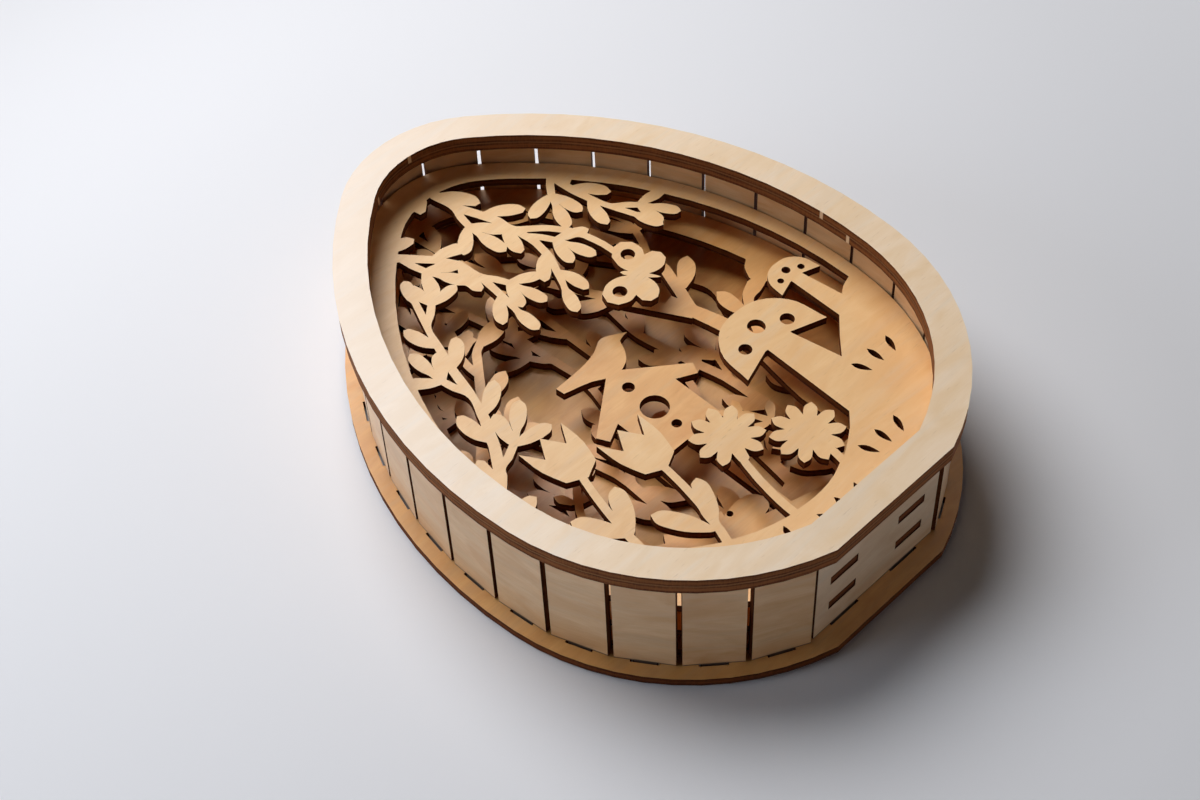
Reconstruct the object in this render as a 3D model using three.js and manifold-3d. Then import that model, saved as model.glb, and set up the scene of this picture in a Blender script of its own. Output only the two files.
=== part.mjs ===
// A laser-cut birch plywood shadow box in the shape of an egg, lying on its back.
// The narrow tip of the egg points along +Y, the flat end it can stand on faces -Y, and +Z is the open front.
// Lengths are in millimetres, and the origin is under the middle of the base plate.

import * as THREE from "three";
import { mergeVertices } from "three/addons/utils/BufferGeometryUtils.js";
import Module from "manifold-3d";

const wasm = await Module();
wasm.setup();

// Sheet
const ply = 3;

// Egg outline of the rim: a tip arc, a big arc and two side arcs that run tangent into both
const tipRadius = 42.8;
const bigRadius = 84;
const sideRadius = 155.7;
const centreSpacing = 96.15;
const flatWidth = 50.6; // of the flat end

// Rim, base and wall
const rimWidth = 11;
const wallInset = 3.25; // from the rim's outer edge to the outer face of a slat
const panelInset = 4.45; // the same at the flat end, to the end panel
const baseLip = 2; // how far the base shows beyond the rim
const baseFlatLip = 2.5;
const wallHeight = 39.5;
const slatsEachSide = 13; // beside the one that stands at the tip
const slatGap = 1.4;
const panelWidth = 54;
const tabShare = 0.4; // width of a slat's tab over the width of the slat
const tabRecess = 0.3; // the tab ends lie this far inside the face they reach
const slotEndGap = 0.7;
const slotOuterGap = 0.7; // the slots are cut wider on the outer side, where they show as a dark line
const fit = 0.3; // gap between a piece and what it drops into

// End panel slots, which hold the two upper frets
const fretSlotWidth = 12;
const fretSlotHeight = 3.7;
const fretSlotSpacing = 30; // between the middles of the two columns
const frontFretHeight = 24; // underside of the fret at the end panel, above the underside of the base
const middleFretHeight = 12;
const fretRise = 6; // both upper frets stand this much higher at the tip

// Frets: the plain band that each keeps along the wall, counted from the rim's outer edge
const frontBandInset = 14;
const frontBandShiftX = 2.5; // its window lies off centre, so the band is wider on the left and at the tip
const frontBandShiftY = 3;
const middleBandInset = 17.5;
const backBandInset = 25.4;
const twigWidth = 2.4; // thinnest bridge that the cutter leaves
const stemWidth = 3;
const boughWidth = 4.4;
const twigLength = 18;
const leafLength = 17;
const leafWidth = 6.4;
const leafletWidth = 3.2;
const bloomHeight = 21;
const daisyRadius = 12;
const toadstoolWidth = 37;
const butterflySpan = 27;
const birdLength = 33;
const houseWidth = 34;
const hedgehogLength = 40;
const eyeRadius = 1.1;
const trunkWidth = 11;
const bladeLength = 7;
const bladeWidth = 1.9;

const cutOverrun = 1; // how far a cutting body runs past the faces it cuts
const arcSag = 0.11; // how far a straight facet may cut inside a true arc
const hiddenArcSag = 0.25; // the same where the rim hides the edge
const leafSteps = 5;
const deepLeafSteps = 4; // on the lower frets, which are seen less closely
const petalSteps = 4;
const leafletSteps = 3;
const discCorners = 10;
const stemSteps = 2; // facets of a stem for each place that it runs through
const curveSteps = 3; // facets of each curve of an outline

const birch = { roughness: 0.62, metalness: 0 };
const rimColour = 0xe3cfb3;
const slatColour = 0xc3a688;
const fretColour = 0xdcb98c;
const baseColour = 0xc08a52;

// Shares that shape the motifs, and their turns in radians
const leafFootShare = 0.75; // how fast a leaf widens from its foot
const leafTipShare = 0.5; // and how fast it closes at its rounded tip
const leafSpread = 0.7;
const leafBendShare = 0.14;
const leafTaperShare = 0.25;
const twigEvery = 3; // every third node of a bough bears a twig of three leaves in place of a leaf
const twigTurn = 0.5;
const twigPairShare = 0.6;
const twigLeafShare = 0.9;
const frondSpread = 1;
const frondTaperShare = 0.8;
const petalShare = 0.38;
const daisyEyeShare = 0.4;
const tulipHalfShare = 0.42;
const tulipNotchShare = 0.66;
const sheathLengthShare = 0.6;
const sheathFootShare = 0.2;
const sheathLean = 0.5;
const capHeightShare = 0.6;
const spotShares = [[-0.26, 0.25, 0.06], [0, 0.36, 0.08], [0.25, 0.23, 0.065]];
const wingShares = [[1, 0.6], [2, 0.45]];
const wingWidthShare = 0.66;
const wingEyeShare = 0.62;
const spineShare = 0.86;
const backShare = 0.8;
const spines = 12;
const snoutTurn = 0.4;
const eyeShare = 0.46;
const bladeSpreadShares = [-0.4, 0, 0.4];

// A perched bird that looks towards +X, in shares of its length: back, end of the tail, then breast and beak
const birdRunShares = [
  [[0.38, 0.2], [0.24, 0.25], [0.08, 0.17], [-0.14, 0.12], [-0.5, 0.1]],
  [[-0.49, 0]],
  [[-0.2, -0.08], [0.02, -0.19], [0.22, -0.13], [0.33, 0.01], [0.37, 0.1], [0.5, 0.13]],
];
// A nesting house and its round door, in shares of its width from the middle of its floor
const ridgeShare = 1.1;
const houseShares = [
  [-0.38, 0], [0.38, 0], [0.38, 0.58], [0.58, 0.48], [0.64, 0.6],
  [0, ridgeShare], [-0.64, 0.6], [-0.58, 0.48], [-0.38, 0.58],
];
const doorShares = [[0, 0.48, 0.14], [0, 0.2, 0.05], [0, 0.82, 0.06]];

// Places of the motifs on each fret, as shares of its half width and its length
const frontGroundShares = [
  [-1.1, 0.3], [-0.8, 0.25], [-0.5, 0.15], [-0.2, 0.1], [0.1, 0.1],
  [0.35, 0.15], [0.6, 0.25], [0.85, 0.33], [1.1, 0.36],
];
const frontBoughShares = [
  [9, [-1.1, 0.36], [-0.84, 0.42], [-0.64, 0.54], [-0.54, 0.67], [-0.42, 0.79]],
  [7, [-0.56, 0.98], [-0.3, 0.88], [-0.14, 0.79], [-0.16, 0.66]],
  [8, [0.08, 1.04], [0.06, 0.92], [0.14, 0.83], [0.16, 0.73], [0.06, 0.64]],
  [6, [0.72, 0.94], [0.52, 0.87], [0.5, 0.78], [0.58, 0.68]],
];
const frontTwigShares = [[0.14, 0.8], [0.3, 0.74], [0.36, 0.66], [0.34, 0.58]];
const butterflyAngle = 2.2;
const tulipShares = [[[-0.66, 0.2], [-0.56, 0.35], 0.06], [[-0.42, 0.12], [-0.32, 0.28], -0.08]];
const daisyShares = [[[-0.14, 0.08], [-0.04, 0.26], 0.1, 10], [[0.16, 0.08], [0.19, 0.18], -0.1, 10]];
const toadstoolShares = [[[0.5, 0.16], [0.46, 0.31], 1], [[0.8, 0.27], [0.78, 0.39], 0.5]];
const frontGrassShares = [[-0.32, 0.06], [0.02, 0.04], [0.38, 0.08], [0.68, 0.19]];
const middleGroundShares = [
  [-1.1, 0.26], [-0.7, 0.17], [-0.3, 0.17], [0.1, 0.13], [0.5, 0.12], [0.8, 0.18], [1.1, 0.28],
];
const trunkShares = [[0.52, 0.06], [0.46, 0.24], [0.5, 0.4], [0.42, 0.55]];
const middleBoughShares = [
  [6, [0.5, 0.36], [0.66, 0.46], [0.82, 0.48], [1.05, 0.45]],
  [8, [0.44, 0.5], [0.56, 0.64], [0.46, 0.78], [0.5, 0.96]],
  [8, [0.44, 0.5], [0.26, 0.62], [0.1, 0.74], [-0.04, 0.84], [-0.1, 1.02]],
  [8, [-1.1, 0.44], [-0.78, 0.5], [-0.52, 0.6], [-0.3, 0.7], [-0.04, 0.72]],
  [6, [-0.96, 0.74], [-0.62, 0.74], [-0.4, 0.8], [-0.26, 0.92]],
];
const frondShares = [
  [5, [-0.72, 0.12], [-0.7, 0.26], [-0.6, 0.36], [-0.42, 0.42]],
  [4, [0.2, 0.08], [0.26, 0.18], [0.22, 0.28], [0.12, 0.33]],
  [3, [0.7, 0.1], [0.72, 0.2], [0.78, 0.28]],
];
const postShares = [[-0.04, 0.08], [-0.04, 0.33]];
const hedgehogShares = [-0.44, 0.155];
const middleGrassShares = [[-0.2, 0.08], [0.34, 0.06]];
const backGroundShares = [
  [-1.1, 0.24], [-0.7, 0.22], [-0.35, 0.15], [0, 0.18], [0.4, 0.22], [0.75, 0.16], [1.1, 0.2],
];
const backBoughShares = [
  [6, [-0.6, 0.14], [-0.6, 0.34], [-0.68, 0.5], [-0.84, 0.64]],
  [8, [-0.42, 0.1], [-0.3, 0.36], [-0.46, 0.6], [-0.58, 0.88]],
  [9, [-0.14, 0.1], [-0.18, 0.36], [-0.04, 0.6], [-0.22, 0.97]],
  [9, [0.12, 0.14], [0.2, 0.38], [0.08, 0.62], [0.16, 1]],
  [8, [0.36, 0.14], [0.38, 0.38], [0.3, 0.6], [0.48, 0.9]],
  [6, [0.56, 0.14], [0.6, 0.34], [0.68, 0.52], [0.84, 0.66]],
];

// Centres and joints of the four arcs, from the radii and the spacing
const tipY = centreSpacing / 2;
const bigY = -centreSpacing / 2;
const toTip = sideRadius - tipRadius;
const toBig = sideRadius - bigRadius;
const sideY = (toBig ** 2 - toTip ** 2 + tipY ** 2 - bigY ** 2) / (2 * (tipY - bigY));
const sideX = Math.sqrt(toTip ** 2 - (sideY - tipY) ** 2);
const upperJoint = Math.atan2(tipY - sideY, sideX);
const lowerJoint = Math.atan2(bigY - sideY, sideX);
const flatY = bigY - Math.sqrt(bigRadius ** 2 - (flatWidth / 2) ** 2);

// Points of an arc, with an even number of facets that stay within the sag, so that its middle is a point too
function arcPoints(x, y, radius, from, to, sag) {
  const steps = 2 * Math.ceil(Math.abs(to - from) / (4 * Math.acos(1 - sag / radius)));
  const points = [];
  for (let step = 0; step < steps; step++) {
    const angle = THREE.MathUtils.lerp(from, to, step / steps);
    points.push(new THREE.Vector2(x + radius * Math.cos(angle), y + radius * Math.sin(angle)));
  }
  return points;
}

// The egg drawn inside the rim's outer edge by inset (outside where it is negative), cut flat at cutY
function eggPoints(inset, cutY, sag = arcSag) {
  const cutAngle = Math.asin((cutY - bigY) / (bigRadius - inset));
  const end = Math.PI - cutAngle;
  return [
    ...arcPoints(0, bigY, bigRadius - inset, cutAngle, lowerJoint, sag),
    ...arcPoints(-sideX, sideY, sideRadius - inset, lowerJoint, upperJoint, sag),
    ...arcPoints(0, tipY, tipRadius - inset, upperJoint, Math.PI - upperJoint, sag),
    ...arcPoints(sideX, sideY, sideRadius - inset, Math.PI - upperJoint, Math.PI - lowerJoint, sag),
    ...arcPoints(0, bigY, bigRadius - inset, Math.PI - lowerJoint, end, sag),
    new THREE.Vector2((bigRadius - inset) * Math.cos(end), bigY + (bigRadius - inset) * Math.sin(end)),
  ];
}

function eggShape(inset, cutY, sag) {
  return new THREE.Shape(eggPoints(inset, cutY, sag));
}

// A point of the egg and its outward direction, at a length along it from the tip towards +X
function alongEgg(inset, length) {
  const tipLength = (tipRadius - inset) * (Math.PI / 2 - upperJoint);
  const sideLength = (sideRadius - inset) * (upperJoint - lowerJoint);
  const far = Math.abs(length);
  const arc = { x: 0, y: tipY, radius: tipRadius - inset, angle: Math.PI / 2 - far / (tipRadius - inset) };
  if (far > tipLength) {
    arc.x = -sideX;
    arc.y = sideY;
    arc.radius = sideRadius - inset;
    arc.angle = upperJoint - (far - tipLength) / arc.radius;
  }
  if (far > tipLength + sideLength) {
    arc.x = 0;
    arc.y = bigY;
    arc.radius = bigRadius - inset;
    arc.angle = lowerJoint - (far - tipLength - sideLength) / arc.radius;
  }
  const side = Math.sign(length) || 1;
  return {
    x: side * (arc.x + arc.radius * Math.cos(arc.angle)),
    y: arc.y + arc.radius * Math.sin(arc.angle),
    heading: Math.atan2(Math.sin(arc.angle), side * Math.cos(arc.angle)),
  };
}

// Length of the egg from the tip round to where its big arc is a half width from the middle line
function lengthTo(inset, halfWidth) {
  const tipLength = (tipRadius - inset) * (Math.PI / 2 - upperJoint);
  const sideLength = (sideRadius - inset) * (upperJoint - lowerJoint);
  const bigLength = (bigRadius - inset) * (lowerJoint + Math.acos(halfWidth / (bigRadius - inset)));
  return tipLength + sideLength + bigLength;
}

// Sheet work: outlines become solids, and solids become named meshes
function solidOf(geometry) {
  geometry.deleteAttribute("normal");
  geometry.deleteAttribute("uv");
  const merged = mergeVertices(geometry);
  const vertProperties = merged.attributes.position.array;
  const triVerts = new Uint32Array(merged.index.array);
  return new wasm.Manifold(new wasm.Mesh({ numProp: 3, vertProperties, triVerts }));
}

function cutSheet(shape, from = 0, to = ply) {
  const geometry = new THREE.ExtrudeGeometry(shape, {
    depth: to - from,
    bevelEnabled: false,
    curveSegments: curveSteps,
  });
  geometry.translate(0, 0, from);
  return solidOf(geometry);
}

function cutThrough(shape) {
  return cutSheet(shape, -cutOverrun, ply + cutOverrun);
}

function meshOf(solid, name, color) {
  const made = solid.getMesh();
  const geometry = new THREE.BufferGeometry();
  geometry.setAttribute("position", new THREE.BufferAttribute(made.vertProperties, made.numProp));
  geometry.setIndex(new THREE.BufferAttribute(made.triVerts, 1));
  geometry.computeVertexNormals();
  const mesh = new THREE.Mesh(geometry, new THREE.MeshStandardMaterial({ color, ...birch }));
  mesh.name = name;
  return mesh;
}

// A rectangle with its middle at a point, turned by an angle
function rectangle(x, y, width, height, angle = 0) {
  const corners = [[-1, -1], [1, -1], [1, 1], [-1, 1]].map(([across, up]) => {
    const corner = new THREE.Vector2((across * width) / 2, (up * height) / 2);
    return corner.rotateAround(new THREE.Vector2(), angle).add(new THREE.Vector2(x, y));
  });
  return new THREE.Shape(corners);
}

// Wall: where each slat stands, and the tabs that pin it between the base and the rim
const wallMiddle = wallInset + ply / 2;
const panelOuterY = flatY + panelInset;
const panelInnerY = panelOuterY + ply;
const wallPitch = lengthTo(wallMiddle, panelWidth / 2) / (slatsEachSide + 1 / 2);
const slatWidth = wallPitch - slatGap;
const slatTabWidth = tabShare * slatWidth;
const slatPlaces = [];
for (let step = -slatsEachSide; step <= slatsEachSide; step++) {
  slatPlaces.push(alongEgg(wallMiddle, step * wallPitch));
}
const panelTabWidth = (tabShare * panelWidth) / 2;
const panelTabPlaces = [-panelWidth / 4, panelWidth / 4];

// A board standing on its lower edge, with a tab above and below at each of the places across it
function boardShape(width, tabWidth, tabPlaces) {
  const tabLength = ply - tabRecess;
  const half = width / 2;
  const shape = new THREE.Shape();
  shape.moveTo(-half, 0);
  for (const place of tabPlaces) {
    shape.lineTo(place - tabWidth / 2, 0);
    shape.lineTo(place - tabWidth / 2, -tabLength);
    shape.lineTo(place + tabWidth / 2, -tabLength);
    shape.lineTo(place + tabWidth / 2, 0);
  }
  shape.lineTo(half, 0);
  shape.lineTo(half, wallHeight);
  for (const place of [...tabPlaces].reverse()) {
    shape.lineTo(place + tabWidth / 2, wallHeight);
    shape.lineTo(place + tabWidth / 2, wallHeight + tabLength);
    shape.lineTo(place - tabWidth / 2, wallHeight + tabLength);
    shape.lineTo(place - tabWidth / 2, wallHeight);
  }
  shape.lineTo(-half, wallHeight);
  shape.closePath();
  return shape;
}

// Stands a flat board up on the base, its outer face turned to the heading
function standUp(mesh, x, y, heading) {
  mesh.geometry.translate(0, 0, -ply / 2);
  mesh.rotation.order = "ZXY";
  mesh.rotation.set(Math.PI / 2, 0, heading + Math.PI / 2);
  mesh.position.set(x, y, ply);
  return mesh;
}

function makeSlats() {
  const shape = boardShape(slatWidth, slatTabWidth, [0]);
  return slatPlaces.map((place, index) => {
    const name = "slat_" + String(index + 1).padStart(2, "0");
    return standUp(meshOf(cutSheet(shape), name, slatColour), place.x, place.y, place.heading);
  });
}

function makeEndPanel() {
  let panel = cutSheet(boardShape(panelWidth, panelTabWidth, panelTabPlaces));
  for (const height of [frontFretHeight, middleFretHeight]) {
    for (const column of [-fretSlotSpacing / 2, fretSlotSpacing / 2]) {
      const slotMiddle = height - ply / 2;
      panel = panel.subtract(cutThrough(rectangle(column, slotMiddle, fretSlotWidth, fretSlotHeight)));
    }
  }
  return standUp(meshOf(panel, "end_panel", slatColour), 0, panelOuterY + ply / 2, -Math.PI / 2);
}

// The slots that the wall's tabs drop into, the same in the base and in the lower ring of the rim
function cutTabSlots(sheet) {
  const slotDepth = ply + fit + slotOuterGap;
  const outward = (slotOuterGap - fit) / 2;
  let cut = sheet;
  for (const place of slatPlaces) {
    const x = place.x + outward * Math.cos(place.heading);
    const y = place.y + outward * Math.sin(place.heading);
    const slot = rectangle(x, y, slotDepth, slatTabWidth + 2 * slotEndGap, place.heading);
    cut = cut.subtract(cutThrough(slot));
  }
  for (const x of panelTabPlaces) {
    const y = panelOuterY + ply / 2 - outward;
    cut = cut.subtract(cutThrough(rectangle(x, y, panelTabWidth + 2 * slotEndGap, slotDepth)));
  }
  return cut;
}

function ringSheet() {
  const ring = eggShape(0, flatY);
  ring.holes.push(new THREE.Path(eggPoints(rimWidth, flatY + rimWidth)));
  return cutSheet(ring);
}

function makeBase() {
  return meshOf(cutTabSlots(cutSheet(eggShape(-baseLip, flatY - baseFlatLip))), "base_plate", baseColour);
}

function makeUnderRing() {
  const mesh = meshOf(cutTabSlots(ringSheet()), "under_ring", rimColour);
  mesh.position.z = ply + wallHeight;
  return mesh;
}

function makeTopRing() {
  const mesh = meshOf(ringSheet(), "top_ring", rimColour);
  mesh.position.z = ply + wallHeight + ply;
  return mesh;
}

// Fretwork. Places on a fret are shares: across, of its half width, and up, of its length from the flat end
const fretInset = wallInset + ply + fit;
const fretFlatY = panelInnerY + fit;
const fretHalfWidth = sideRadius - fretInset - sideX;
const fretLength = tipY + tipRadius - fretInset - fretFlatY;

function placeAt([across, up]) {
  return new THREE.Vector2(across * fretHalfWidth, fretFlatY + up * fretLength);
}

function curveThrough(placeShares) {
  return new THREE.SplineCurve(placeShares.map(placeAt));
}

function towards(angle, length) {
  return new THREE.Vector2(length * Math.cos(angle), length * Math.sin(angle));
}

// A stem of even taper along a curve
function stemAlong(curve, startWidth, endWidth, steps) {
  const sides = [[], []];
  for (let step = 0; step <= steps; step++) {
    const point = curve.getPoint(step / steps);
    const tangent = curve.getTangent(step / steps);
    const half = THREE.MathUtils.lerp(startWidth, endWidth, step / steps) / 2;
    const across = new THREE.Vector2(-tangent.y * half, tangent.x * half);
    sides[0].push(point.clone().sub(across));
    sides[1].push(point.clone().add(across));
  }
  return new THREE.Shape([...sides[0], ...sides[1].reverse()]);
}

// A leaf with a narrow foot and a rounded tip, bent sideways by a share of its length
function leafShape(foot, angle, length, width, steps = leafSteps, bendShare = 0) {
  const whole = leafFootShare + leafTipShare;
  const widest = (leafFootShare / whole) ** leafFootShare * (leafTipShare / whole) ** leafTipShare;
  const upper = [];
  const lower = [];
  for (let step = 1; step < steps; step++) {
    const along = (1 - Math.cos((Math.PI * step) / steps)) / 2;
    const half = ((width / 2) * along ** leafFootShare * (1 - along) ** leafTipShare) / widest;
    const middle = bendShare * length * along ** 2;
    upper.push(new THREE.Vector2(length * along, middle + half));
    lower.push(new THREE.Vector2(length * along, middle - half));
  }
  const tip = new THREE.Vector2(length, bendShare * length);
  const points = [new THREE.Vector2(), ...lower, tip, ...upper.reverse()];
  return new THREE.Shape(points.map((p) => p.rotateAround(new THREE.Vector2(), angle).add(foot)));
}

function disc(centre, radius) {
  const points = [];
  for (let corner = 0; corner < discCorners; corner++) {
    points.push(towards((2 * Math.PI * corner) / discCorners, radius).add(centre));
  }
  return new THREE.Shape(points);
}

// A twig that turns back along its bough, with a pair of leaves and one at its end
function twig(foot, heading, side, size, steps) {
  const elbow = foot.clone().add(towards(heading, (size * twigLength) / 2));
  const end = elbow.clone().add(towards(heading - side * twigTurn, (size * twigLength) / 2));
  const curve = new THREE.QuadraticBezierCurve(foot, elbow, end);
  const length = size * twigLeafShare * leafLength;
  const width = size * twigLeafShare * leafWidth;
  const shapes = [stemAlong(curve, stemWidth, twigWidth, curveSteps)];
  const onward = curve.getTangent(1).angle();
  shapes.push(leafShape(end.clone().sub(towards(onward, twigWidth)), onward, length, width, steps));
  for (const turn of [-leafSpread, leafSpread]) {
    const angle = curve.getTangent(twigPairShare).angle() + turn;
    shapes.push(leafShape(curve.getPoint(twigPairShare), angle, length, width, steps));
  }
  return shapes;
}

// A bough through the places, with leaves and leafy twigs in turn on either side and a leaf at its end
function bough(placeShares, nodes, steps) {
  const curve = curveThrough(placeShares);
  const shapes = [stemAlong(curve, boughWidth, twigWidth, stemSteps * placeShares.length)];
  for (let node = 1; node <= nodes + 1; node++) {
    const share = node / (nodes + 1);
    const side = node > nodes ? 0 : 1 - 2 * (node % 2);
    const heading = curve.getTangentAt(share).angle() + side * leafSpread;
    const foot = curve.getPointAt(share).sub(towards(heading, side ? 0 : twigWidth));
    const size = 1 - leafTaperShare * share;
    if (side && node % twigEvery === 0) {
      shapes.push(...twig(foot, heading, side, size, steps));
    } else {
      const bendShare = -side * leafBendShare;
      shapes.push(leafShape(foot, heading, size * leafLength, size * leafWidth, steps, bendShare));
    }
  }
  return shapes;
}

// A fern frond: pairs of narrow leaflets that shorten towards its end
function frond(placeShares, pairs) {
  const curve = curveThrough(placeShares);
  const shapes = [stemAlong(curve, stemWidth, twigWidth, stemSteps * placeShares.length)];
  for (let index = 1; index <= pairs; index++) {
    const share = index / (pairs + 1);
    const length = leafLength * (1 - share * frondTaperShare);
    for (const side of [-frondSpread, frondSpread]) {
      const angle = curve.getTangent(share).angle() + side;
      shapes.push(leafShape(curve.getPoint(share), angle, length, leafletWidth, leafletSteps));
    }
  }
  return shapes;
}

// Ground that fills a fret from its flat end up to a rolling line through the places
function ground(placeShares) {
  const line = curveThrough(placeShares).getPoints(stemSteps * placeShares.length);
  const end = new THREE.Vector2(line[line.length - 1].x, fretFlatY);
  return new THREE.Shape([...line, end, new THREE.Vector2(line[0].x, fretFlatY)]);
}

// A flower's stalk, bowed sideways by a share of its length
function flowerStalk(foot, head, bowShare) {
  const middle = foot.clone().add(head).divideScalar(2);
  middle.x -= (head.y - foot.y) * bowShare;
  middle.y += (head.x - foot.x) * bowShare;
  return stemAlong(new THREE.QuadraticBezierCurve(foot, middle, head), stemWidth, twigWidth, 2 * curveSteps);
}

function daisy(footShares, headShares, bowShare, petals) {
  const head = placeAt(headShares);
  const shapes = [flowerStalk(placeAt(footShares), head, bowShare), disc(head, daisyEyeShare * daisyRadius)];
  for (let petal = 0; petal < petals; petal++) {
    const angle = (2 * Math.PI * petal) / petals;
    shapes.push(leafShape(head, angle, daisyRadius, petalShare * daisyRadius, petalSteps));
  }
  return shapes;
}

// A tulip with three points to its cup and a blade on either side of the stalk
function tulip(footShares, headShares, bowShare) {
  const foot = placeAt(footShares);
  const head = placeAt(headShares);
  const half = bloomHeight * tulipHalfShare;
  const top = head.y + bloomHeight;
  const notch = head.y + bloomHeight * tulipNotchShare;
  const cup = new THREE.Shape();
  cup.moveTo(head.x, head.y);
  cup.bezierCurveTo(head.x + half, head.y, head.x + half, (head.y + top) / 2, head.x + half, top);
  cup.lineTo(head.x + half / 2, notch);
  cup.lineTo(head.x, top);
  cup.lineTo(head.x - half / 2, notch);
  cup.lineTo(head.x - half, top);
  cup.bezierCurveTo(head.x - half, (head.y + top) / 2, head.x - half, head.y, head.x, head.y);
  const neck = new THREE.Vector2(head.x, head.y + bloomHeight / 4);
  const sheath = foot.distanceTo(head) * sheathLengthShare;
  const sheathFoot = foot.clone().lerp(head, sheathFootShare);
  return [
    flowerStalk(foot, neck, bowShare),
    cup,
    leafShape(sheathFoot, Math.PI / 2 + sheathLean, sheath, leafWidth),
    leafShape(sheathFoot, Math.PI / 2 - sheathLean, sheath, leafWidth),
  ];
}

function toadstool(footShares, capShares, capWidth) {
  const cap = placeAt(capShares);
  const half = capWidth / 2;
  const top = cap.y + capWidth * capHeightShare;
  const dome = new THREE.Shape();
  dome.moveTo(cap.x - half, cap.y);
  dome.quadraticCurveTo(cap.x, cap.y + half / 2, cap.x + half, cap.y);
  dome.bezierCurveTo(cap.x + half, cap.y + half, cap.x + half / 2, top, cap.x, top);
  dome.bezierCurveTo(cap.x - half / 2, top, cap.x - half, cap.y + half, cap.x - half, cap.y);
  const gills = new THREE.Vector2(cap.x, cap.y + half / 2);
  return [stemAlong(new THREE.LineCurve(placeAt(footShares), gills), half, half / 2, 2), dome];
}

function toadstoolSpots(capShares, capWidth) {
  return spotShares.map(([across, up, size]) => {
    const centre = new THREE.Vector2(across * capWidth, up * capWidth).add(placeAt(capShares));
    return disc(centre, size * capWidth);
  });
}

// A butterfly seen from above, its head towards the angle
function butterfly(body, angle) {
  const tail = body.clone().sub(towards(angle, butterflySpan / 4));
  const shapes = [leafShape(tail, angle, butterflySpan / 2, twigWidth)];
  for (const side of [-1, 1]) {
    for (const [turn, reachShare] of wingShares) {
      const reach = reachShare * butterflySpan;
      shapes.push(leafShape(body, angle + side * turn, reach, reach * wingWidthShare));
    }
  }
  return shapes;
}

function butterflyEyes(body, angle) {
  const [turn, reachShare] = wingShares[0];
  const reach = reachShare * butterflySpan * wingEyeShare;
  return [-turn, turn].map((side) => disc(towards(angle + side, reach).add(body), twigWidth));
}

// A closed outline of smooth runs, with a corner where one run meets the next, in shares of a size
function figure(place, size, runShares) {
  const at = ([x, y]) => new THREE.Vector2(x * size, y * size).add(place);
  const points = [];
  let last = runShares.at(-1).at(-1);
  for (const run of runShares) {
    const curve = new THREE.SplineCurve([last, ...run].map(at));
    points.push(...curve.getPoints(run.length > 1 ? 2 * run.length : 1).slice(1));
    last = run.at(-1);
  }
  return new THREE.Shape(points);
}

// A nesting house on a post, with a bird on its ridge
function house(footShares, floorShares) {
  const floor = placeAt(floorShares);
  const at = ([x, y]) => new THREE.Vector2(x * houseWidth, y * houseWidth).add(floor);
  const post = new THREE.LineCurve(placeAt(footShares), at([0, ridgeShare / 2]));
  const perch = at([0, ridgeShare]).add(new THREE.Vector2(0, stemWidth));
  return [
    stemAlong(post, boughWidth, boughWidth, 1),
    new THREE.Shape(houseShares.map(at)),
    figure(perch, birdLength, birdRunShares),
  ];
}

function doors(floorShares) {
  return doorShares.map(([x, y, size]) => {
    const centre = new THREE.Vector2(x * houseWidth, y * houseWidth).add(placeAt(floorShares));
    return disc(centre, size * houseWidth);
  });
}

// A tuft of grass, cut out as thin slots that fan from a foot
function tuft(footShares) {
  return bladeSpreadShares.map((spread) => {
    const foot = placeAt(footShares).add(new THREE.Vector2(2 * spread * bladeLength, 0));
    return leafShape(foot, Math.PI / 2 - spread, bladeLength, bladeWidth, leafletSteps);
  });
}

// A hedgehog: a round back with a row of spines, and a pointed snout
function hedgehog(footShares) {
  const foot = placeAt(footShares);
  const points = [];
  for (let spine = 0; spine <= 2 * spines; spine++) {
    const angle = (Math.PI * spine) / (2 * spines);
    const point = towards(angle, (hedgehogLength / 2) * (spine % 2 ? 1 : spineShare));
    points.push(point.multiply(new THREE.Vector2(1, backShare)).add(foot));
  }
  const brow = foot.clone().add(towards(snoutTurn, hedgehogLength / 4));
  return [new THREE.Shape(points), leafShape(brow, 0, hedgehogLength / 2, hedgehogLength / 4)];
}

function hedgehogEye(footShares) {
  return disc(placeAt(footShares).add(towards(snoutTurn, hedgehogLength * eyeShare)), eyeRadius);
}

function joinSheets(shapes) {
  return shapes.map((shape) => cutSheet(shape)).reduce((all, next) => all.add(next));
}

// One fret: the plain band round its window, the motifs within the outline, and the holes in them
function fretSheet(bandInset, shiftX, shiftY, motifs, cutouts = []) {
  const outline = cutSheet(eggShape(fretInset, fretFlatY, hiddenArcSag));
  const shift = new THREE.Vector2(shiftX, shiftY);
  const window = new THREE.Shape(eggPoints(bandInset, flatY + bandInset).map((point) => point.add(shift)));
  const band = outline.subtract(cutThrough(window));
  const sheet = joinSheets(motifs).intersect(outline).add(band);
  return cutouts.reduce((all, next) => all.subtract(cutThrough(next)), sheet);
}

function boughs(table, steps) {
  return table.flatMap(([nodes, ...route]) => bough(route, nodes, steps));
}

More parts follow.
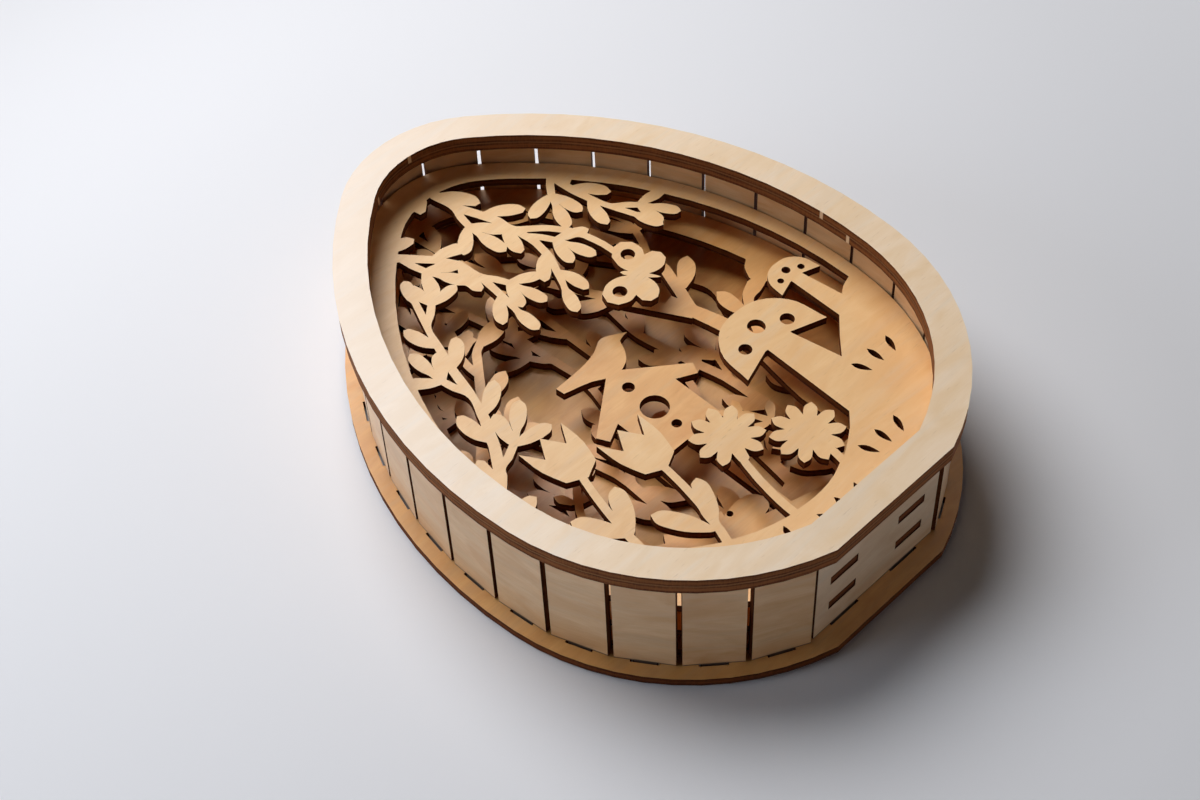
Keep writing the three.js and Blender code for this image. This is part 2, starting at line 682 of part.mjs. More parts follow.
function frontFretSheet() {
  const motifs = [ground(frontGroundShares), ...boughs(frontBoughShares, leafSteps)];
  tulipShares.forEach(([foot, head, bow]) => motifs.push(...tulip(foot, head, bow)));
  daisyShares.forEach(([foot, head, bow, petals]) => motifs.push(...daisy(foot, head, bow, petals)));
  const cutouts = frontGrassShares.flatMap(tuft);
  toadstoolShares.forEach(([foot, cap, size]) => {
    motifs.push(...toadstool(foot, cap, size * toadstoolWidth));
    cutouts.push(...toadstoolSpots(cap, size * toadstoolWidth));
  });
  const hanging = curveThrough(frontTwigShares);
  motifs.push(stemAlong(hanging, stemWidth, twigWidth, stemSteps * frontTwigShares.length));
  motifs.push(...butterfly(hanging.getPoint(1), butterflyAngle));
  cutouts.push(...butterflyEyes(hanging.getPoint(1), butterflyAngle));
  return fretSheet(frontBandInset, frontBandShiftX, -frontBandShiftY, motifs, cutouts);
}

function middleFretSheet() {
  const [postFoot, floor] = postShares;
  const motifs = [ground(middleGroundShares), ...boughs(middleBoughShares, deepLeafSteps)];
  motifs.push(stemAlong(curveThrough(trunkShares), trunkWidth, boughWidth, stemSteps * trunkShares.length));
  frondShares.forEach(([pairs, ...route]) => motifs.push(...frond(route, pairs)));
  motifs.push(...house(postFoot, floor), ...hedgehog(hedgehogShares));
  const cutouts = [...doors(floor), hedgehogEye(hedgehogShares), ...middleGrassShares.flatMap(tuft)];
  return fretSheet(middleBandInset, 0, 0, motifs, cutouts);
}

function backFretSheet() {
  const motifs = [ground(backGroundShares), ...boughs(backBoughShares, deepLeafSteps)];
  return fretSheet(backBandInset, 0, 0, motifs);
}

// Adds the two tabs that sit in the end panel, and hangs the sheet on them at its slope
function hangFret(sheet, name, height) {
  const tabEnd = panelOuterY + tabRecess;
  const tabLength = fretFlatY + cutOverrun - tabEnd;
  let tabbed = sheet;
  for (const x of [-fretSlotSpacing / 2, fretSlotSpacing / 2]) {
    const tab = rectangle(x, tabEnd + tabLength / 2, fretSlotWidth - 2 * fit, tabLength);
    tabbed = tabbed.add(cutSheet(tab));
  }
  const mesh = meshOf(tabbed, name, fretColour);
  mesh.position.y = -panelInnerY;
  const slope = new THREE.Group();
  slope.position.set(0, panelInnerY, height);
  slope.rotation.x = Math.atan2(fretRise, fretLength);
  slope.add(mesh);
  return slope;
}

function makeBackFret() {
  const mesh = meshOf(backFretSheet(), "fret_back", fretColour);
  mesh.position.z = ply;
  return mesh;
}

const box = new THREE.Group();
box.position.y = -(tipY + tipRadius + baseLip + flatY - baseFlatLip) / 2;
box.add(makeBase(), makeEndPanel(), ...makeSlats(), makeUnderRing(), makeTopRing(), makeBackFret());
box.add(hangFret(middleFretSheet(), "fret_middle", middleFretHeight));
box.add(hangFret(frontFretSheet(), "fret_front", frontFretHeight));

export default box;
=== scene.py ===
"""Egg-shaped shadow box of laser-cut birch plywood: finishes, camera and light round the fixed model."""

import math

import bmesh
import bpy
from mathutils import Matrix, Vector
from mathutils.geometry import delaunay_2d_cdt, interpolate_bezier


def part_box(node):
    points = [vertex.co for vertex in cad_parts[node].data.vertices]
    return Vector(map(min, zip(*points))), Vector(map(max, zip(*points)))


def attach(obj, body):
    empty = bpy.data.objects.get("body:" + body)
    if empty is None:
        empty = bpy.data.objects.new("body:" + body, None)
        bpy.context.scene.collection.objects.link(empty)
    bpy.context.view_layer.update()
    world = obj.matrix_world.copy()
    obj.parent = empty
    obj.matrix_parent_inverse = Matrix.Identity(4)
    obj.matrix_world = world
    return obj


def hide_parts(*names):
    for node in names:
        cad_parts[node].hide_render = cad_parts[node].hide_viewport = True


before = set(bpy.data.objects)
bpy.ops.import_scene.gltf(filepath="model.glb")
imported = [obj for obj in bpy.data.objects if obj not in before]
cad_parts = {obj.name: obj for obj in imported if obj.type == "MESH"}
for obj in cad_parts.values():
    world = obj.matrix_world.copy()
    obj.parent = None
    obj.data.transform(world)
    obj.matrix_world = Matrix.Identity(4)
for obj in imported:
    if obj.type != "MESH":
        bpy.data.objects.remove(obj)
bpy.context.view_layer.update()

MM = 0.001
PLY = 3 * MM
SLAT_COUNT = 27

# Birch veneer: a pale, even wood with a fine, low-contrast grain. Sanded and unsealed, it has a soft gloss.
# Each sheet has its light tone, its darker figure and the cooler grey of its odd streaks.
# The rim and the wall were cut from pale sheets. The sheets further down are warmer and more saturated:
# partly their own tone, partly painted warm shade of the deep layers.
RIM_BIRCH = ("#EFD4B4", "#E7C69C", "#E3D2BE")
WALL_BIRCH = ("#E0B98B", "#CD9B66", "#CCAC87")
PANEL_BIRCH = ("#E2C5A5", "#CFAB84", "#D4C1A8")
FRONT_BIRCH = ("#F0C489", "#E7B475", "#E2BE92")
MIDDLE_BIRCH = ("#EBB26B", "#DC9C52", "#D4A973")
BACK_BIRCH = ("#DE9F55", "#C9863F", "#C2955E")
BASE_BIRCH = ("#DEA65E", "#CC9049", "#C29A6A")
FLECK = "#A97C50"

# Sizes of the veneer's patterns: along the grain, across it, and into the sheet
FIGURE_SIZE = (24 * MM, 9 * MM, 9 * MM)
STREAK_SIZE = (55 * MM, 6 * MM, 6 * MM)
FIBRE_SIZE = (9 * MM, 0.45 * MM, 0.45 * MM)  # real fibres are finer, and would not show in the render
FLECK_SIZE = (4 * MM, 0.4 * MM, 0.4 * MM)
BIRCH_IOR = 1.5
FACE_GLOSS = 0.8
FACE_ROUGHNESS = (0.40, 0.50)
FUZZ = 0.3
FUZZ_ROUGHNESS = 0.4
FIBRE_DEPTH = 0.08 * MM
FIBRE_RELIEF = 0.12  # the part of that depth that sanding left
FIBRE_NOISE = (0.3, 0.7)  # the noise at which a fibre's roughness starts to rise and has risen
FACE_SPAN = (0.6, 0.75)  # how squarely a surface faces out of its sheet, where char ends and veneer is full

# Painted sheen: the rim's top face is painted paler and cooler towards one side, where the softbox's gloss
# lies.
# The axis runs away from that side, and the span goes from where it is palest to where that ends.
RIM_SHEEN = "#EFE4DD"
SHEEN_AXIS = (0.735, -0.678, 0)
SHEEN_SPAN = (-85 * MM, 5 * MM)
SHEEN_PART = 0.5

# Laser-cut edge: the beam chars the plies dark brown, and the cross-banded core in the middle stays lighter.
# It leaves burnt lines along the plies and fine marks down through them.
CHAR = ("#2E0E03", "#6E3813")
RIM_CHAR = ("#43200E", "#8C552E")
CHAR_GLOSS = 0.15
CHAR_ROUGHNESS = 0.85
CORE_SPAN = (0.4 * MM, 0.75 * MM)  # from the sheet's middle, where the core starts to darken and is dark
CORE_PART = 0.5
BURNT_LINE_SIZE = (16 * MM, 16 * MM, 0.35 * MM)
BURNT_LINE_NOISE = (0.38, 0.66)
BURNT_LINE_PART = 0.65
BEAM_MARK_SIZE = (0.5 * MM, 0.5 * MM, 3 * MM)
BEAM_MARK_NOISE = (0.35, 0.65)
BEAM_MARK_PART = 0.25
FOOT_SHADE_SPAN = (0.3 * MM, 0.55 * MM)  # above the base, where the painted contact shade at a slat's foot starts to fade and is gone
FOOT_SHADE_PART = 0.85

# The rim is two sheets glued together, and the joint shows as a thin lighter line
GLUE_LINE = "#B98A5C"
GLUE_SPAN = (0.15 * MM, 0.35 * MM)
GLUE_PART = 0.3

# Where the rings were held in their sheet: the last fibres tore and stayed pale, one mark at each place
TORN_WOOD = "#EBCBA4"
TORN_SPAN = (0.5 * MM, 0.8 * MM)
TORN_PLACES = {
    "top_ring": ((73.7, -18.1), (0.9, 98.5)),
    "under_ring": ((72.9, -29.5), (-15.8, 91.3)),
}


def linear(hex_colour):
    """An sRGB hex colour as linear red, green, blue and alpha."""
    channels = [int(hex_colour[i:i + 2], 16) / 255 for i in (1, 3, 5)]
    return [c / 12.92 if c <= 0.04045 else ((c + 0.055) / 1.055) ** 2.4 for c in channels] + [1]


def add(tree, kind, settings=None, **inputs):
    """Adds a node with its settings, and sets or links its inputs.

    An input is named with _ for a space, or by i and its number. It takes a value, a socket or a node, which
    stands for its first output in use.
    """
    node = tree.nodes.new(kind)
    for name, value in (settings or {}).items():
        setattr(node, name, value)
    for name, value in inputs.items():
        in_use = [socket for socket in node.inputs if socket.enabled]
        if name[0] == "i" and name[1:].isdigit():
            target = in_use[int(name[1:])]
        else:
            target = next(socket for socket in in_use if socket.name == name.replace("_", " "))
        if isinstance(value, bpy.types.Node):
            value = next(socket for socket in value.outputs if socket.enabled)
        if isinstance(value, bpy.types.NodeSocket):
            tree.links.new(value, target)
        else:
            target.default_value = value
    return node


def new_material(name):
    """An empty material, and its node tree."""
    material = bpy.data.materials.new(name)
    material.use_nodes = True
    material.node_tree.nodes.clear()
    return material, material.node_tree


def drawn_noise(tree, position, axes, sizes, seed, detail, distortion=0.0):
    """Noise whose patches have a given size along each of three directions."""
    parts = []
    for axis, size in zip(axes, sizes):
        parts.append(add(tree, "ShaderNodeVectorMath", {"operation": "DOT_PRODUCT"},
                         i0=position, i1=list(axis / size)))
    place = add(tree, "ShaderNodeCombineXYZ", None, X=parts[0], Y=parts[1], Z=parts[2])
    moved = add(tree, "ShaderNodeVectorMath", {"operation": "ADD"},
                i0=place, i1=[seed, seed / 3, seed / 7])
    return add(tree, "ShaderNodeTexNoise", None,
               Vector=moved, Scale=1.0, Detail=detail, Distortion=distortion)


def veneer(tree, position, axes, colours, seed):
    """Colour of a face, and its fibres."""
    light, dark, cool = [linear(colour) for colour in colours]
    figure = drawn_noise(tree, position, axes, FIGURE_SIZE, seed, 5.0, 1.3)
    streaks = drawn_noise(tree, position, axes, STREAK_SIZE, seed + 31, 3.0, 1.0)
    fibres = drawn_noise(tree, position, axes, FIBRE_SIZE, seed + 5, 3.0)
    flecks = drawn_noise(tree, position, axes, FLECK_SIZE, seed + 9, 1.0)
    # Each has its pattern, its tone, the noise at which it starts and is full, and its strength when full
    layers = (
        (figure, dark, 0.34, 0.68, 1.0),
        (streaks, cool, 0.48, 0.74, 0.55),
        (fibres, dark, 0.42, 0.72, 0.35),
        (flecks, linear(FLECK), 0.68, 0.8, 0.3),
    )
    colour = light
    for pattern, tone, start, full, most in layers:
        part = add(tree, "ShaderNodeMapRange", None, Value=pattern,
                   From_Min=start, From_Max=full, To_Max=most)
        colour = add(tree, "ShaderNodeMix", {"data_type": "RGBA"}, Factor=part, A=colour, B=tone)
    return colour, fibres


def charred_edge(tree, position, axes, low, chars, seed):
    """Colour of a cut edge: dark outer plies round a lighter core, with burnt lines and the beam's marks."""
    height = add(tree, "ShaderNodeVectorMath", {"operation": "DOT_PRODUCT"},
                 i0=position, i1=list(axes[2]))
    from_middle = add(tree, "ShaderNodeMath", {"operation": "SUBTRACT"}, i0=height, i1=low + PLY / 2)
    distance = add(tree, "ShaderNodeMath", {"operation": "ABSOLUTE"}, i0=from_middle)
    core = add(tree, "ShaderNodeMapRange", None, Value=distance,
               From_Min=CORE_SPAN[0], From_Max=CORE_SPAN[1], To_Min=CORE_PART, To_Max=0.0)
    lines = drawn_noise(tree, position, axes, BURNT_LINE_SIZE, seed + 3, 2.0)
    marks = drawn_noise(tree, position, axes, BEAM_MARK_SIZE, seed + 4, 1.0)
    line_part = add(tree, "ShaderNodeMapRange", None, Value=lines,
                    From_Min=BURNT_LINE_NOISE[0], From_Max=BURNT_LINE_NOISE[1], To_Max=BURNT_LINE_PART)
    mark_part = add(tree, "ShaderNodeMapRange", None, Value=marks,
                    From_Min=BEAM_MARK_NOISE[0], From_Max=BEAM_MARK_NOISE[1], To_Max=BEAM_MARK_PART)
    part = add(tree, "ShaderNodeMath", {"operation": "ADD"}, i0=core, i1=line_part)
    part = add(tree, "ShaderNodeMath", {"operation": "ADD", "use_clamp": True}, i0=part, i1=mark_part)
    return add(tree, "ShaderNodeMix", {"data_type": "RGBA"},
               Factor=part, A=linear(chars[0]), B=linear(chars[1]))


def glue_line(tree, position, colour, height):
    """Draws the thin lighter line where two stacked sheets meet at a height."""
    parts = add(tree, "ShaderNodeSeparateXYZ", None, Vector=position)
    away = add(tree, "ShaderNodeMath", {"operation": "SUBTRACT"}, i0=parts.outputs["Z"], i1=height)
    away = add(tree, "ShaderNodeMath", {"operation": "ABSOLUTE"}, i0=away)
    part = add(tree, "ShaderNodeMapRange", None, Value=away,
               From_Min=GLUE_SPAN[0], From_Max=GLUE_SPAN[1], To_Min=GLUE_PART, To_Max=0.0)
    return add(tree, "ShaderNodeMix", {"data_type": "RGBA"}, Factor=part, A=colour, B=linear(GLUE_LINE))


def torn_marks(tree, position, colour, node, places):
    """Draws a pale upright mark, about 1 mm wide, where a ring's cut edge is nearest to each place."""
    height = (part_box(node.name)[0][2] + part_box(node.name)[1][2]) / 2
    flat = add(tree, "ShaderNodeVectorMath", {"operation": "MULTIPLY"}, i0=position, i1=[1, 1, 0])
    for x, y in places:
        nearest = node.closest_point_on_mesh(Vector((x * MM, y * MM, height)))[1]
        away = add(tree, "ShaderNodeVectorMath", {"operation": "DISTANCE"},
                   i0=flat, i1=[nearest.x, nearest.y, 0])
        part = add(tree, "ShaderNodeMapRange", None, Value=away,
                   From_Min=TORN_SPAN[0], From_Max=TORN_SPAN[1], To_Min=1.0, To_Max=0.0)
        colour = add(tree, "ShaderNodeMix", {"data_type": "RGBA"},
                     Factor=part, A=colour, B=linear(TORN_WOOD))
    return colour


def painted_sheen(tree, position, colour):
    """Paints a sheen on the rim's veneer: paler and cooler towards one side."""
    along = add(tree, "ShaderNodeVectorMath", {"operation": "DOT_PRODUCT"}, i0=position, i1=list(SHEEN_AXIS))
    part = add(tree, "ShaderNodeMapRange", None, Value=along,
               From_Min=SHEEN_SPAN[0], From_Max=SHEEN_SPAN[1], To_Min=SHEEN_PART, To_Max=0.0)
    return add(tree, "ShaderNodeMix", {"data_type": "RGBA"}, Factor=part, A=colour, B=linear(RIM_SHEEN))


def painted_foot_shade(tree, position, colour, height):
    """Paints contact shade on about the lowest 0.4 mm of a slat or of the panel, where it stands on the base
    at a height.
    """
    parts = add(tree, "ShaderNodeSeparateXYZ", None, Vector=position)
    part = add(tree, "ShaderNodeMapRange", None, Value=parts.outputs["Z"],
               From_Min=height + FOOT_SHADE_SPAN[0], From_Max=height + FOOT_SHADE_SPAN[1],
               To_Min=FOOT_SHADE_PART, To_Max=0.0)
    return add(tree, "ShaderNodeMix", {"data_type": "RGBA"}, Factor=part, A=colour, B=linear(CHAR[0]))


def stands_upright(normal):
    """Whether a sheet with this way out of its face stands on its edge, as the slats do."""
    return abs(normal.z) < 0.5


def sheet_axes(node):
    """Directions of a CAD sheet: its grain, across the grain in the sheet, and straight out of it.

    The grain of a flat sheet runs along x, and that of an upright one level round the wall.
    """
    normal = max(node.data.polygons, key=lambda face: face.area).normal.copy()
    level = Vector((0, 0, 1)).cross(normal) if stands_upright(normal) else Vector((1, 0, 0))
    across = normal.cross(level).normalized()
    return across.cross(normal), across, normal


def birch_plywood(name, colours, chars, seed):
    """Plywood of one CAD sheet: veneer on its two faces and a charred, banded edge wherever it was cut."""
    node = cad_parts[name]
    axes = sheet_axes(node)
    normal = axes[2]
    low = min(vertex.co.dot(normal) for vertex in node.data.vertices)

    material, tree = new_material("birch_" + name)
    geometry = add(tree, "ShaderNodeNewGeometry")
    position = geometry.outputs["Position"]
    face_colour, fibres = veneer(tree, position, axes, colours, seed)
    edge_colour = charred_edge(tree, position, axes, low, chars, seed)
    if name in TORN_PLACES:
        edge_colour = glue_line(tree, position, edge_colour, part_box("top_ring")[0][2])
        edge_colour = torn_marks(tree, position, edge_colour, node, TORN_PLACES[name])
    # Painted sheen: the top ring's face is painted paler and cooler towards one side
    if name == "top_ring":
        face_colour = painted_sheen(tree, position, face_colour)
    # Painted contact shade along the foot of each upright sheet, where it stands on the base
    if stands_upright(normal):
        face_colour = painted_foot_shade(tree, position, face_colour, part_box("base_plate")[1][2])

    facing = add(tree, "ShaderNodeVectorMath", {"operation": "DOT_PRODUCT"},
                 i0=geometry.outputs["True Normal"], i1=list(normal))
    facing = add(tree, "ShaderNodeMath", {"operation": "ABSOLUTE"}, i0=facing)
    is_face = add(tree, "ShaderNodeMapRange", None, Value=facing,
                  From_Min=FACE_SPAN[0], From_Max=FACE_SPAN[1])
    colour = add(tree, "ShaderNodeMix", {"data_type": "RGBA"}, Factor=is_face, A=edge_colour, B=face_colour)

    # Char is as dull as soot. The sanded face has a broad soft gloss, and its fuzz is pale at a low angle
    face_roughness = add(tree, "ShaderNodeMapRange", None, Value=fibres,
                         From_Min=FIBRE_NOISE[0], From_Max=FIBRE_NOISE[1],
                         To_Min=FACE_ROUGHNESS[0], To_Max=FACE_ROUGHNESS[1])
    roughness = add(tree, "ShaderNodeMapRange", None, Value=is_face,
                    To_Min=CHAR_ROUGHNESS, To_Max=face_roughness)
    gloss = add(tree, "ShaderNodeMapRange", None, Value=is_face, To_Min=CHAR_GLOSS, To_Max=FACE_GLOSS)
    fuzz = add(tree, "ShaderNodeMath", {"operation": "MULTIPLY"}, i0=is_face, i1=FUZZ)
    bump = add(tree, "ShaderNodeBump", None, Strength=FIBRE_RELIEF, Distance=FIBRE_DEPTH, Height=fibres)
    shader = add(tree, "ShaderNodeBsdfPrincipled", None, Base_Color=colour, Roughness=roughness,
                 IOR=BIRCH_IOR, Specular_IOR_Level=gloss, Sheen_Weight=fuzz,
                 Sheen_Roughness=FUZZ_ROUGHNESS, Normal=bump)
    add(tree, "ShaderNodeOutputMaterial", None, Surface=shader)
    node.data.materials.clear()
    node.data.materials.append(material)


# The last number starts a sheet's patterns in a place of their own
birch_plywood("top_ring", RIM_BIRCH, RIM_CHAR, 1)
birch_plywood("under_ring", RIM_BIRCH, RIM_CHAR, 21)
birch_plywood("end_panel", PANEL_BIRCH, CHAR, 41)
for number in range(1, SLAT_COUNT + 1):
    birch_plywood(f"slat_{number:02d}", WALL_BIRCH, CHAR, 60 + 13 * number)
# The frets and the base further down carry painted warm shade in their tones as well as their own colour
birch_plywood("fret_front", FRONT_BIRCH, CHAR, 7)
birch_plywood("fret_middle", MIDDLE_BIRCH, CHAR, 27)
birch_plywood("fret_back", BACK_BIRCH, CHAR, 47)
birch_plywood("base_plate", BASE_BIRCH, CHAR, 87)


# Smooth cuts: the laser follows curves, so the outlines of the three frets are drawn again as curves through
# the corners of their faceted CAD outlines. Turns sharper than SHARP_TURN stay corners.
SHARP_TURN = math.radians(43)
SAME_POINT = 0.08 * MM
SAME_WAY = 0.99  # the cosine past which a face counts as turned like its sheet
CORNER_DIGITS = 6  # in metres, so corners are told apart to a thousandth of a millimetre
LONG_SIDE = 2.5  # a side this many times longer than the next one is straight, and the curve runs into it
TOUCH_GAP = 0.03 * MM
STEP_TURN = math.radians(5)  # a curve gets one more facet for each such part of its bend
MERGE_GAP = 0.001 * MM


def outline_loops(node, normal):
    """The closed outlines of a sheet's upper face, as their points in order, with the wood on the left."""
    points = [tuple(round(value, CORNER_DIGITS) for value in vertex.co) for vertex in node.data.vertices]
    top = max(vertex.co.dot(normal) for vertex in node.data.vertices)
    sides = set()
    for face in node.data.polygons:
        if face.normal.dot(normal) > SAME_WAY and top - face.center.dot(normal) < PLY / 10:
            corners = [points[index] for index in face.vertices]
            for start, end in zip(corners, corners[1:] + corners[:1]):
                if (end, start) in sides:
                    sides.remove((end, start))
                else:
                    sides.add((start, end))
    following = {}
    for start, end in sorted(sides):
        following.setdefault(start, []).append(end)
    loops = []
    while following:
        point = min(following)
        loop = []
        while point in following:
            loop.append(Vector(point))
            ends = following[point]
            if len(ends) == 1:
                del following[point]
            point = ends.pop()
        loops.append(loop)
    return loops


def without_repeats(loop):
    """The points of a closed outline, less those that lie on the one before."""
    kept = []
    for point in loop:
        if not kept or (point - kept[-1]).length > SAME_POINT:
            kept.append(point)
    if (kept[0] - kept[-1]).length <= SAME_POINT:
        kept.pop()
    return kept


def smooth_loop(corners):
    """Points of a closed curve through flat corners, which stays sharp only where it turns sharply."""
    headings = []
    for index, corner in enumerate(corners):
        into = corner - corners[index - 1]
        out = corners[(index + 1) % len(corners)] - corner
        arrive, leave = into.normalized(), out.normalized()
        if into.angle(out) < SHARP_TURN:
            if into.length > LONG_SIDE * out.length:
                leave = arrive
            elif out.length > LONG_SIDE * into.length:
                arrive = leave
            else:
                arrive = leave = (arrive * out.length + leave * into.length).normalized()
        headings.append((arrive, leave))
    points = []
    for index, corner in enumerate(corners):
        after = (index + 1) % len(corners)
        side = corners[after] - corner
        leave, arrive = headings[index][1], headings[after][0]
        bend = max(side.angle(leave), side.angle(arrive))
        steps = 1 + round(bend / STEP_TURN)
        handles = (corner + leave * side.length / 3, corners[after] - arrive * side.length / 3)
        points += interpolate_bezier(corner, *handles, corners[after], steps + 1)[:-1]
    return [point.to_2d() for point in points]


def filled(loops):
    """Fills flat loops, each with the wood on its left side: the corners, and the triangles between them."""
    corners, sides = [], []
    for loop in loops:
        first = len(corners)
        corners += loop
        sides += [(first + index, first + (index + 1) % len(loop)) for index in range(len(loop))]
    headings = [corners[end] - corners[start] for start, end in sides]
    corners, edges, faces, _, sources, _ = delaunay_2d_cdt(corners, sides, [], 0, MERGE_GAP)
    # How many outlines run along a side, less those that run against it
    runs = {}
    for (start, end), source in zip(edges, sources):
        heading = corners[end] - corners[start]
        along = sum(1 if headings[index].dot(heading) > 0 else -1 for index in source)
        runs[start, end] = along
        runs[end, start] = -along
    left_of = {side: index for index, face in enumerate(faces) for side in zip(face, face[1:] + face[:1])}
    # From the outside inwards: crossing an outline from its right side leads into wood, or out of a hole
    waiting = [(index, runs.get(side, 0)) for side, index in left_of.items() if side[::-1] not in left_of]
    depth = {}
    while waiting:
        index, count = waiting.pop()
        if index in depth:
            continue
        depth[index] = count
        face = faces[index]
        for start, end in zip(face, face[1:] + face[:1]):
            if (end, start) in left_of:
                waiting.append((left_of[end, start], count - runs.get((start, end), 0)))
    return corners, [face for index, face in enumerate(faces) if depth[index] > 0]


def parted(corners, faces):
    """Where two parts of the wood touch in one point, draws one of them back from it by a hair."""
    around = {}
    for number, face in enumerate(faces):
        for index in face:
            around.setdefault(index, []).append(number)
    for index, found in around.items():
        part = [found[0]]
        for number in part:
            # Triangles that share this corner and one more lie side by side
            part += [other for other in found
                     if other not in part and len(set(faces[other]) & set(faces[number])) == 2]
        if len(part) == len(found):
            continue
        inside = sum((corners[other] for number in part for other in faces[number]), Vector((0, 0)))
        inside /= 3 * len(part)
        for number in part:
            faces[number] = [len(corners) if other == index else other for other in faces[number]]
        corners.append(corners[index] + (inside - corners[index]).normalized() * TOUCH_GAP)


def smooth_fret(name):
    """The CAD fret of this name again, with the same sheet, holes and tabs and with smooth cuts."""
    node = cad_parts[name]
    grain, across, normal = sheet_axes(node)
    low = min(vertex.co.dot(normal) for vertex in node.data.vertices)
    loops = []
    for loop in outline_loops(node, normal):
        corners = [Vector((point.dot(grain), point.dot(across))) for point in without_repeats(loop)]
        if len(corners) > 2:
            loops.append(smooth_loop(corners))
    corners, faces = filled(loops)
    parted(corners, faces)

    solid = bmesh.new()
    under, upper = [], []
    for corner in corners:
        flat = grain * corner.x + across * corner.y
        under.append(solid.verts.new(flat + normal * low))
        upper.append(solid.verts.new(flat + normal * (low + PLY)))
    sides = {side for face in faces for side in zip(face, face[1:] + face[:1])}
    for face in faces:
        solid.faces.new([upper[index] for index in face])
        solid.faces.new([under[index] for index in reversed(face)])
    for start, end in sorted(sides):
        if (end, start) not in sides:
            solid.faces.new((under[start], under[end], upper[end], upper[start]))
    bmesh.ops.delete(solid, geom=[vertex for vertex in solid.verts if not vertex.link_faces])
    mesh = bpy.data.meshes.new("smooth_" + name)
    solid.to_mesh(mesh)
    solid.free()
    mesh.materials.append(node.data.materials[0])
    piece = bpy.data.objects.new("smooth_" + name, mesh)
    bpy.context.scene.collection.objects.link(piece)
    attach(piece, "root")
    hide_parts(name)


for fret in ("fret_front", "fret_middle", "fret_back"):
    smooth_fret(fret)


# Camera: where the photograph was taken from, in the model's own frame
CAMERA_PLACE = Vector((-288.7, -302.6, 478.8)) * MM
CAMERA_YAW = math.radians(42.66)
CAMERA_PITCH = math.radians(48.58)
CAMERA_ROLL = math.radians(-2.94)
CAMERA_LENS = 58.73
CAMERA_SENSOR = 36
CAMERA_NEAR = 10 * MM


def make_camera():
    """Adds the camera and makes it the scene's own."""
    data = bpy.data.cameras.new("camera")
    data.sensor_width = CAMERA_SENSOR
    data.lens = CAMERA_LENS
    data.clip_start = CAMERA_NEAR
    camera = bpy.data.objects.new("camera", data)
    forward = Vector((math.sin(CAMERA_YAW) * math.cos(CAMERA_PITCH),
                      math.cos(CAMERA_YAW) * math.cos(CAMERA_PITCH), -math.sin(CAMERA_PITCH)))
    level = Vector((math.cos(CAMERA_YAW), -math.sin(CAMERA_YAW), 0))
    raised = level.cross(forward)
    right = math.cos(CAMERA_ROLL) * level + math.sin(CAMERA_ROLL) * raised
    up = -math.sin(CAMERA_ROLL) * level + math.cos(CAMERA_ROLL) * raised
    turn = Matrix((right, up, -forward)).transposed()
    camera.matrix_world = Matrix.Translation(CAMERA_PLACE) @ turn.to_4x4()
    bpy.context.scene.collection.objects.link(camera)
    bpy.context.scene.camera = camera


# Room: matte pale paper under the object, and an even pale room beyond it
PAPER = "#EAEAEE"
PAPER_ROUGHNESS = 0.9
PAPER_GLOSS = 0.2
FLOOR_HALF = 3.0
FLOOR_DROP = 0.05 * MM
FAR_SPAN = (0.2, 0.5)  # from the object's middle, where the paper starts to fade into the room and has faded
ROOM_PALE = "#D2D3D7"
ROOM_LIGHT = 0.01

# Lamps: name, place, aim, size, power in watts and colour. The softbox stands behind the object, so that the
# shadow falls forwards, and the three fills stand for what the room gives back.
LAMPS = (
    ("softbox", (0.03, 0.54, 0.78), (0.02, 0.1, 0), 0.78, 9.1, "#FFFFFF"),
    ("left_fill", (-0.8, 0.5, 0.4), (-0.05, 0, 0.02), 0.45, 2.4, "#E3F0FF"),
    ("low_fill", (-0.72, 0.2, 0.09), (-0.05, 0, 0.02), 0.2, 0.42, "#E3F0FF"),
    ("front_fill", (0.2, -0.8, 0.09), (0, -0.1, 0.02), 0.16, 0.42, "#FFFFFF"),
)


def shows_room(tree):
    """1 for rays that show the pale room, to the camera and in gloss, and 0 for those that carry light."""
    path = add(tree, "ShaderNodeLightPath")
    part = add(tree, "ShaderNodeMath", {"operation": "ADD"},
               i0=path.outputs["Is Camera Ray"], i1=path.outputs["Is Glossy Ray"])
    return add(tree, "ShaderNodeMath", {"operation": "ADD", "use_clamp": True},
               i0=part, i1=path.outputs["Is Transmission Ray"])


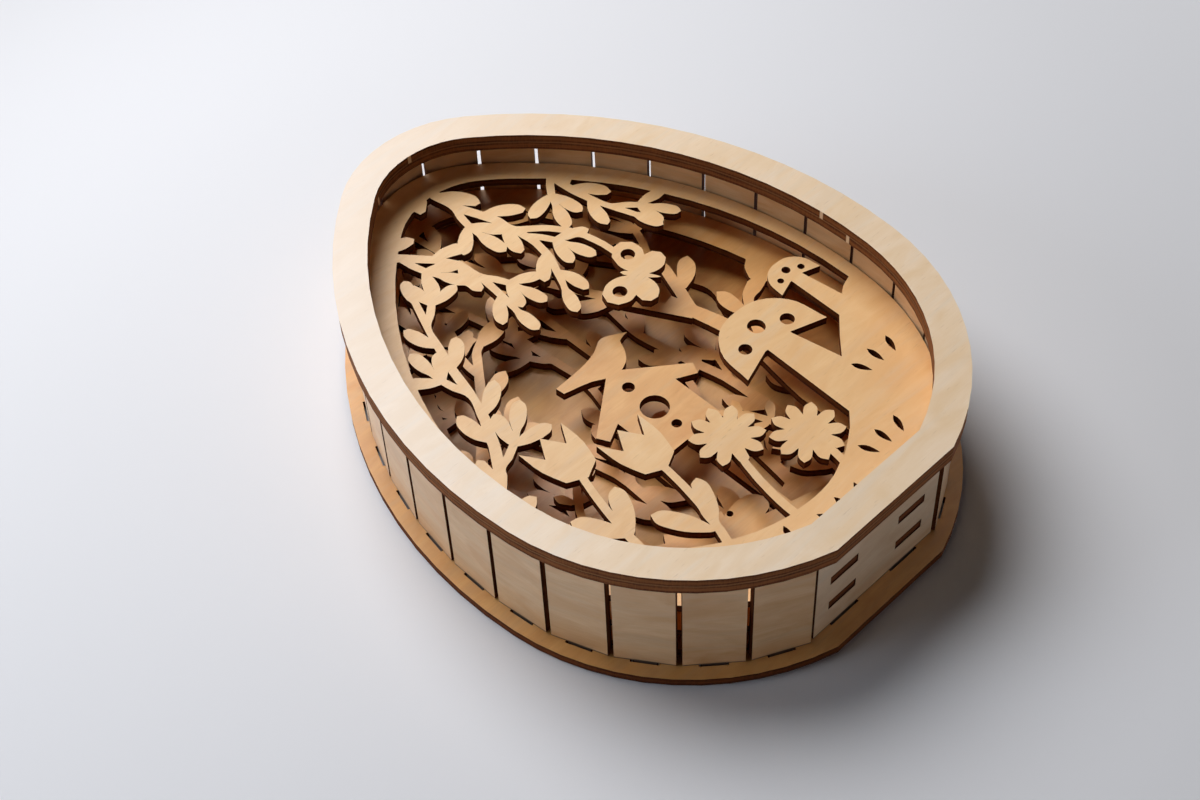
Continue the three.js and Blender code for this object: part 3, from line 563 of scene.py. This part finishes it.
def make_floor():
    """Adds the floor, which takes the object's shadow and fades into the room."""
    corners = [(-FLOOR_HALF, -FLOOR_HALF, 0), (FLOOR_HALF, -FLOOR_HALF, 0),
               (FLOOR_HALF, FLOOR_HALF, 0), (-FLOOR_HALF, FLOOR_HALF, 0)]
    mesh = bpy.data.meshes.new("floor")
    mesh.from_pydata(corners, [], [(0, 1, 2, 3)])
    floor = bpy.data.objects.new("floor", mesh)
    floor.location.z = -FLOOR_DROP
    bpy.context.scene.collection.objects.link(floor)
    material, tree = new_material("pale_paper")
    paper = add(tree, "ShaderNodeBsdfPrincipled", None, Base_Color=linear(PAPER),
                Roughness=PAPER_ROUGHNESS, Specular_IOR_Level=PAPER_GLOSS)
    # Far from the object, where the lamps fade, the floor looks as even and pale as the room
    geometry = add(tree, "ShaderNodeNewGeometry")
    away = add(tree, "ShaderNodeVectorMath", {"operation": "LENGTH"}, i0=geometry.outputs["Position"])
    is_far = add(tree, "ShaderNodeMapRange", {"interpolation_type": "SMOOTHSTEP"}, Value=away,
                 From_Min=FAR_SPAN[0], From_Max=FAR_SPAN[1])
    part = add(tree, "ShaderNodeMath", {"operation": "MULTIPLY"}, i0=is_far, i1=shows_room(tree))
    pale = add(tree, "ShaderNodeEmission", None, Color=linear(ROOM_PALE), Strength=1.0)
    seen = add(tree, "ShaderNodeMixShader", None, i0=part, i1=paper, i2=pale)
    add(tree, "ShaderNodeOutputMaterial", None, Surface=seen)
    mesh.materials.append(material)


def area_light(name, place, target, size, power, colour):
    """Adds a round lamp at a place, turned to a target."""
    data = bpy.data.lights.new(name, "AREA")
    data.shape = "DISK"
    data.size = size
    data.energy = power
    data.color = linear(colour)[:3]
    light = bpy.data.objects.new(name, data)
    light.location = place
    light.rotation_mode = "QUATERNION"
    light.rotation_quaternion = (Vector(target) - Vector(place)).to_track_quat("-Z", "Y")
    bpy.context.scene.collection.objects.link(light)


def make_room():
    """Adds the world, which is pale to look at and gives the object next to no light."""
    world = bpy.data.worlds.new("room")
    world.use_nodes = True
    tree = world.node_tree
    tree.nodes.clear()
    dim = add(tree, "ShaderNodeBackground", None, Color=linear("#FFFFFF"), Strength=ROOM_LIGHT)
    pale = add(tree, "ShaderNodeBackground", None, Color=linear(ROOM_PALE), Strength=1.0)
    seen = add(tree, "ShaderNodeMixShader", None, i0=shows_room(tree), i1=dim, i2=pale)
    add(tree, "ShaderNodeOutputWorld", None, Surface=seen)
    bpy.context.scene.world = world


make_camera()
make_floor()
for lamp in LAMPS:
    area_light(*lamp)
make_room()
bpy.context.scene.view_settings.view_transform = "Standard"
